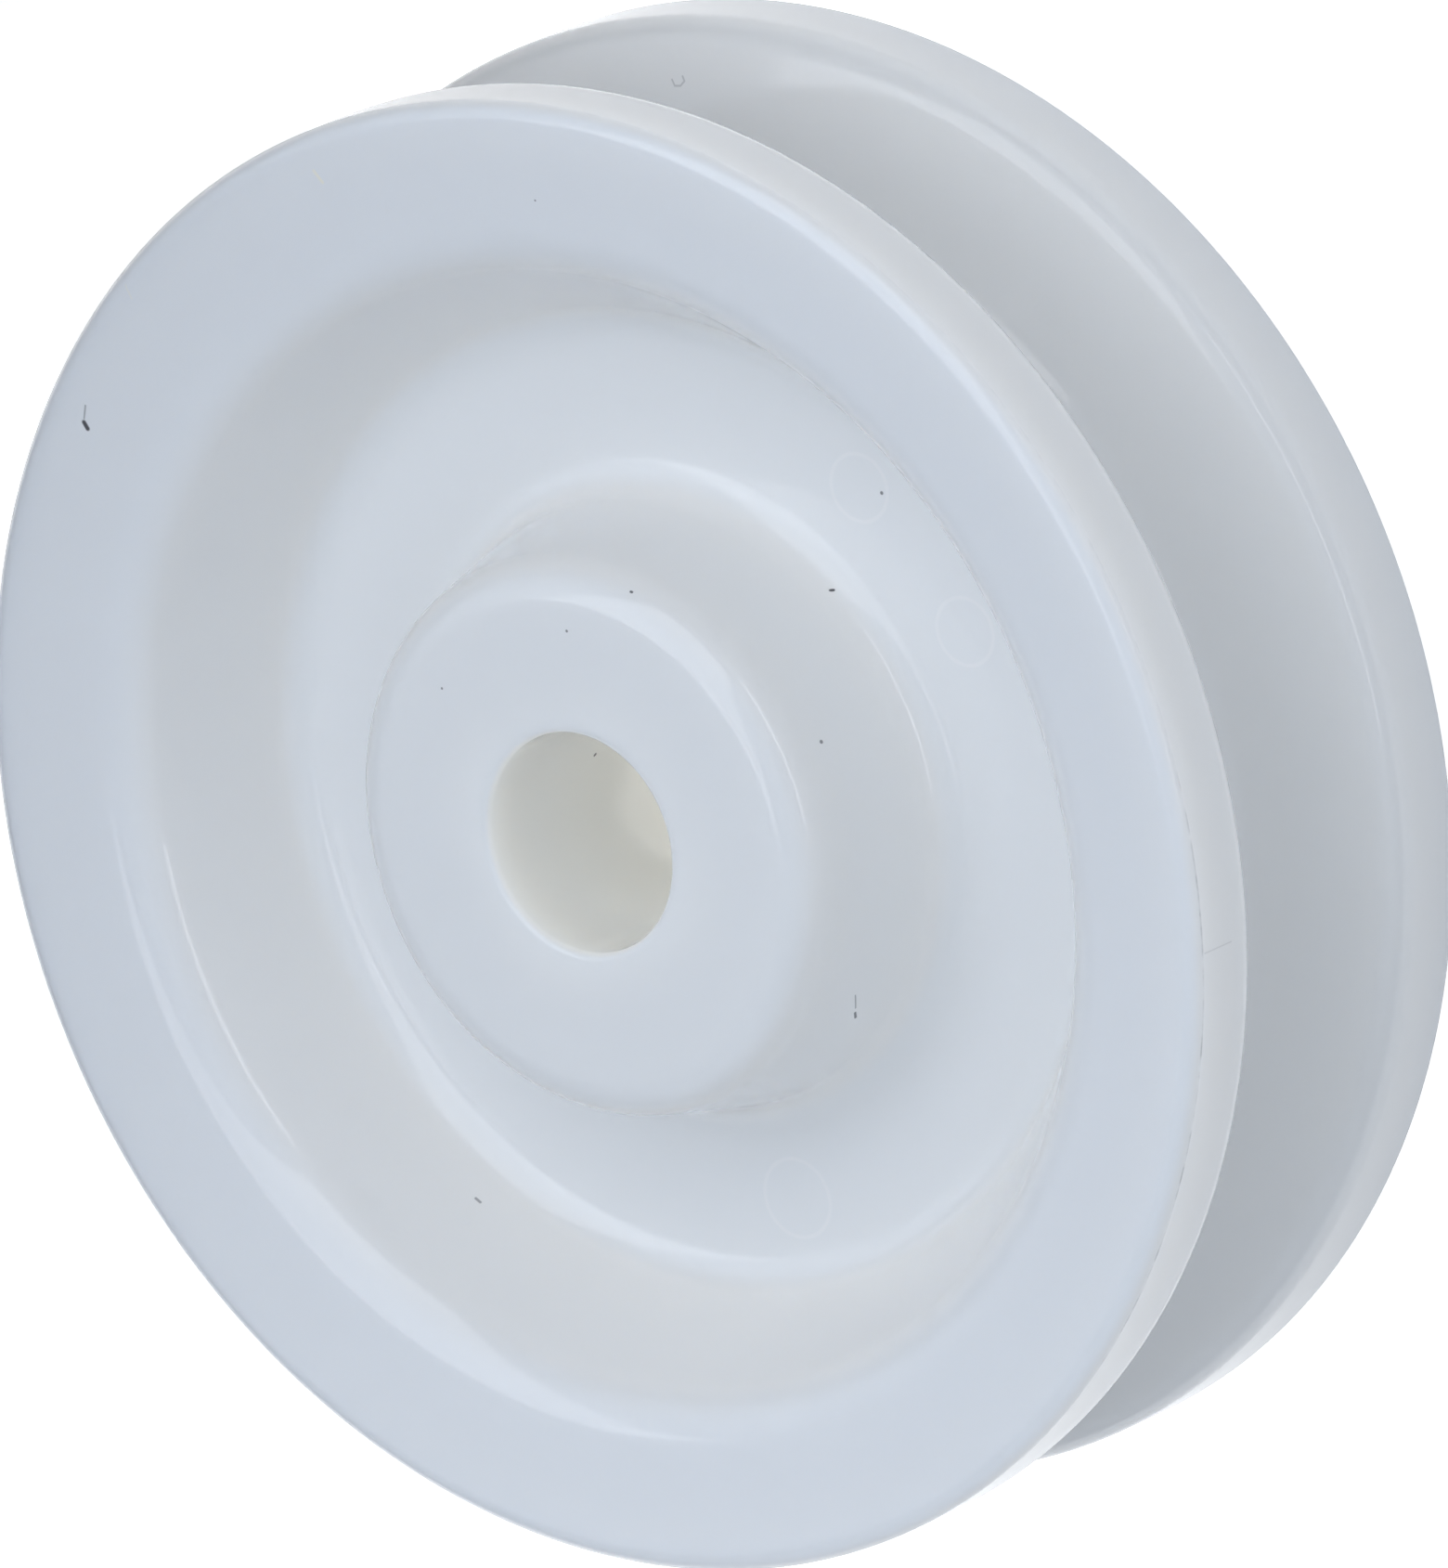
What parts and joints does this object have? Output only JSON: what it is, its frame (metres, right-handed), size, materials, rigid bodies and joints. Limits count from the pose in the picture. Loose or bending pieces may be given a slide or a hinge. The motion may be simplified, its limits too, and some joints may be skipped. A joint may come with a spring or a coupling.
{
  "type": "rope pulley",
  "caption": "Moulded plastic rope pulley with two round flanges, a deep rope groove, recessed faces and a plain bore in a raised hub.",
  "frame": {"origin": "centre of the bore in the middle plane between the two flanges", "axes": "+Z along the bore towards the face seen in the picture; the pulley lies on its rear hub face, and X and Y are free because it is round"},
  "size_m": [0.1, 0.1, 0.0298],
  "materials": {
    "natural_plastic": "smooth moulded surface, milky white and slightly translucent, with soft highlights"
  },
  "bodies": {
    "root": {"pulley": "natural_plastic"}
  },
  "joints": []
}
